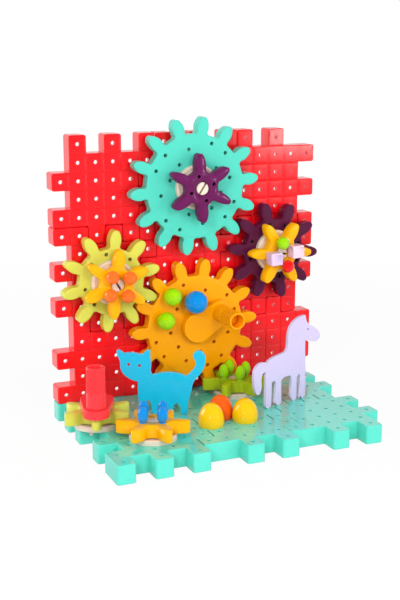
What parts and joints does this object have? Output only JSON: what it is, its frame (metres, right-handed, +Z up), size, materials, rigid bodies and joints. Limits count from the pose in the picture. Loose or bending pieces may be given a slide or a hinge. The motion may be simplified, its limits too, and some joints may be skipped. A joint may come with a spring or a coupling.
{
  "type": "hand cranked gear building toy",
  "caption": "Peg wall on a peg floor with finger-jointed panels, meshing petal gears on snap axles, hand cranks with turning grips, peg beads, half eggs and flat animal figures.",
  "frame": {"origin": "middle of the underside, under the whole toy's box", "axes": "+Z up, the wall at +Y, its gears and the front of the floor facing -Y, +X to the right seen from the front"},
  "size_m": [0.304, 0.1978, 0.3032],
  "materials": {
    "wall_red": "glossy moulded plastic",
    "floor_aqua": "glossy moulded plastic",
    "base_cream": "glossy moulded plastic",
    "gear_orange": "glossy moulded plastic",
    "gear_lime": "glossy moulded plastic",
    "gear_purple": "glossy moulded plastic",
    "gear_aqua": "glossy moulded plastic",
    "gear_plum": "glossy moulded plastic",
    "gear_yellow": "glossy moulded plastic",
    "gear_green": "glossy moulded plastic",
    "crank_orange": "glossy moulded plastic",
    "crank_red": "glossy moulded plastic",
    "bead_orange": "glossy moulded plastic",
    "bead_pink": "glossy moulded plastic",
    "bead_green": "glossy moulded plastic",
    "bead_lilac": "glossy moulded plastic",
    "bead_red": "glossy moulded plastic",
    "bead_blue": "glossy moulded plastic",
    "bead_leaf": "glossy moulded plastic",
    "dome_yellow": "glossy moulded plastic",
    "dome_orange": "glossy moulded plastic",
    "cat_blue": "glossy moulded plastic",
    "horse_lilac": "glossy moulded plastic"
  },
  "bodies": {
    "board": {"wall_panel_top_left": "wall_red", "wall_panel_top_middle": "wall_red", "wall_panel_top_right": "wall_red", "wall_panel_centre_left": "wall_red", "wall_panel_centre_middle": "wall_red", "wall_panel_centre_right": "wall_red", "wall_panel_bottom_left": "wall_red", "wall_panel_bottom_middle": "wall_red", "wall_panel_bottom_right": "wall_red", "floor_panel_back_left": "floor_aqua", "floor_panel_back_middle": "floor_aqua", "floor_panel_back_right": "floor_aqua", "floor_panel_front_left": "floor_aqua", "floor_panel_front_middle": "floor_aqua", "floor_panel_front_right": "floor_aqua", "drive_base": "base_cream", "top_base": "base_cream", "left_base": "base_cream", "right_base": "base_cream", "floor_crank_base": "base_cream", "floor_front_base": "base_cream", "floor_back_base": "base_cream", "dome_yellow_left": "dome_yellow", "dome_yellow_right": "dome_yellow", "dome_orange": "dome_orange", "cat": "cat_blue", "horse": "horse_lilac"},
    "drive_wheel": {"drive_gear": "gear_orange", "drive_crank_arm": "crank_orange", "drive_crank_cap": "crank_orange", "drive_green_balls": "bead_green", "drive_blue_ball": "bead_blue"},
    "drive_grip": {"drive_crank_handle": "crank_orange"},
    "left_wheel": {"left_gear": "gear_lime", "left_stack_base": "base_cream"},
    "left_spinner": {"left_small_gear": "gear_yellow", "left_orange_balls": "bead_orange"},
    "right_wheel": {"right_gear": "gear_purple", "right_stack_base": "base_cream"},
    "right_spinner": {"right_small_gear": "gear_yellow", "right_pink_cube": "bead_pink", "right_green_ball": "bead_green", "right_lilac_cube": "bead_lilac", "right_red_ball": "bead_red"},
    "top_wheel": {"top_gear": "gear_aqua", "top_stack_base": "base_cream"},
    "top_spinner": {"top_small_gear": "gear_plum"},
    "floor_crank_wheel": {"floor_crank_gear": "gear_lime", "floor_crank_arm": "crank_red", "floor_crank_cap": "crank_red"},
    "floor_crank_grip": {"floor_crank_handle": "crank_red"},
    "floor_front_wheel": {"floor_front_gear": "gear_yellow", "floor_front_eggs": "bead_blue"},
    "floor_back_wheel": {"floor_back_gear": "gear_green", "floor_back_eggs": "bead_leaf"}
  },
  "joints": [
    {"name": "drive_spin", "type": "hinge", "parent": "board", "child": "drive_wheel", "pos_m": [0.00814, 0.08092, 0.09], "axis": [0, -1, 0], "range_deg": [-150, 110]},
    {"name": "left_spin", "type": "hinge", "parent": "board", "child": "left_wheel", "pos_m": [-0.08186, 0.08092, 0.144], "axis": [0, -1, 0], "range_deg": [-155, 211]},
    {"name": "right_spin", "type": "hinge", "parent": "board", "child": "right_wheel", "pos_m": [0.09814, 0.08092, 0.162], "axis": [0, -1, 0], "range_deg": [-155, 211]},
    {"name": "top_spin", "type": "hinge", "parent": "board", "child": "top_wheel", "pos_m": [0.00814, 0.08092, 0.234], "axis": [0, -1, 0], "range_deg": [-151, 111]},
    {"name": "floor_back_spin", "type": "hinge", "parent": "board", "child": "floor_back_wheel", "pos_m": [0.04414, 0.04492, 0.018], "axis": [0, 0, 1], "range_deg": [-257.67, 351]},
    {"name": "drive_grip_spin", "type": "hinge", "parent": "drive_wheel", "child": "drive_grip", "pos_m": [0.03275, 0.06323, 0.10336], "axis": [0, -1, 0], "continuous": true},
    {"name": "left_spinner_spin", "type": "hinge", "parent": "left_wheel", "child": "left_spinner", "pos_m": [-0.08186, 0.06323, 0.144], "axis": [0, -1, 0], "continuous": true},
    {"name": "right_spinner_spin", "type": "hinge", "parent": "right_wheel", "child": "right_spinner", "pos_m": [0.09814, 0.06323, 0.162], "axis": [0, -1, 0], "continuous": true},
    {"name": "top_spinner_spin", "type": "hinge", "parent": "top_wheel", "child": "top_spinner", "pos_m": [0.00814, 0.06323, 0.234], "axis": [0, -1, 0], "continuous": true},
    {"name": "floor_crank_spin", "type": "hinge", "parent": "board", "child": "floor_crank_wheel", "pos_m": [-0.11786, 0.00893, 0.018], "axis": [0, 0, 1], "continuous": true},
    {"name": "floor_front_spin", "type": "hinge", "parent": "board", "child": "floor_front_wheel", "pos_m": [-0.08186, -0.04507, 0.018], "axis": [0, 0, 1], "continuous": true},
    {"name": "floor_crank_grip_spin", "type": "hinge", "parent": "floor_crank_wheel", "child": "floor_crank_grip", "pos_m": [-0.12743, -0.01739, 0.0357], "axis": [0, 0, 1], "continuous": true}
  ],
  "couplings": [
    {"joint": "left_spin", "follows": "drive_spin", "ratio": -1.4},
    {"joint": "right_spin", "follows": "drive_spin", "ratio": -1.4},
    {"joint": "top_spin", "follows": "drive_spin", "ratio": 1},
    {"joint": "floor_back_spin", "follows": "drive_spin", "ratio": -2.3333},
    {"joint": "floor_front_spin", "follows": "floor_crank_spin", "ratio": -1}
  ]
}
